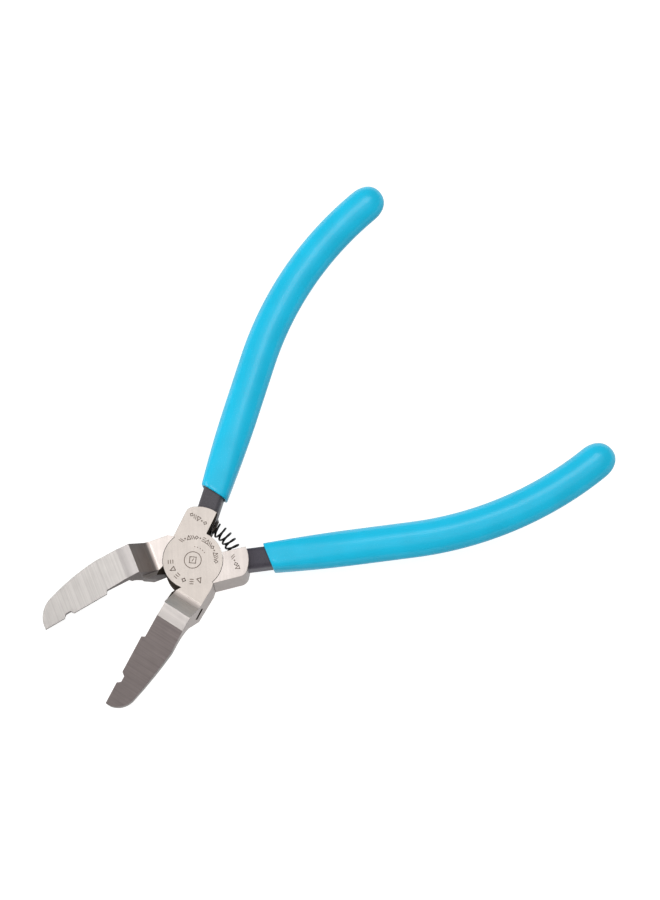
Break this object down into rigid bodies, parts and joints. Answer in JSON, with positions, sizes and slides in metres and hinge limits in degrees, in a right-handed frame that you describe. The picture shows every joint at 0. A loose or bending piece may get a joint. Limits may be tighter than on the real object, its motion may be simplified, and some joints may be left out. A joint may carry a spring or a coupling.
{
  "type": "offset-jaw nippers",
  "caption": "Sprung lap-joint nippers: cranked flat blades with a notched cutting edge, and long bowed handles in dipped vinyl sleeves.",
  "frame": {"origin": "on the pivot axis at the back face of the lap joint, on the rivet's flush head", "axes": "+X between the open jaws, +Z along the pivot axis out of the front disc, +Y to the jaw of the front half"},
  "size_m": [0.163, 0.1182, 0.0206],
  "materials": {
    "forged_steel": "fine-ground nickel on disc, block and neck, brushed ramp and blade, black oxide shank",
    "rivet_steel": "turned, ground flush",
    "spring_steel": "black oiled wire",
    "grip_vinyl": "glossy dipped vinyl"
  },
  "bodies": {
    "lower": {"lower_half": "forged_steel", "lower_grip": "grip_vinyl", "return_spring": "spring_steel"},
    "upper": {"upper_half": "forged_steel", "upper_grip": "grip_vinyl", "pivot_rivet": "rivet_steel"}
  },
  "joints": [
    {"name": "pivot", "type": "hinge", "parent": "lower", "child": "upper", "pos_m": [0, 0, 0], "axis": [0, 0, -1], "range_deg": [0, 35], "stiffness_Nm_per_rad": 0.15, "springref_deg": -20.05, "deforming": ["return_spring"]}
  ]
}
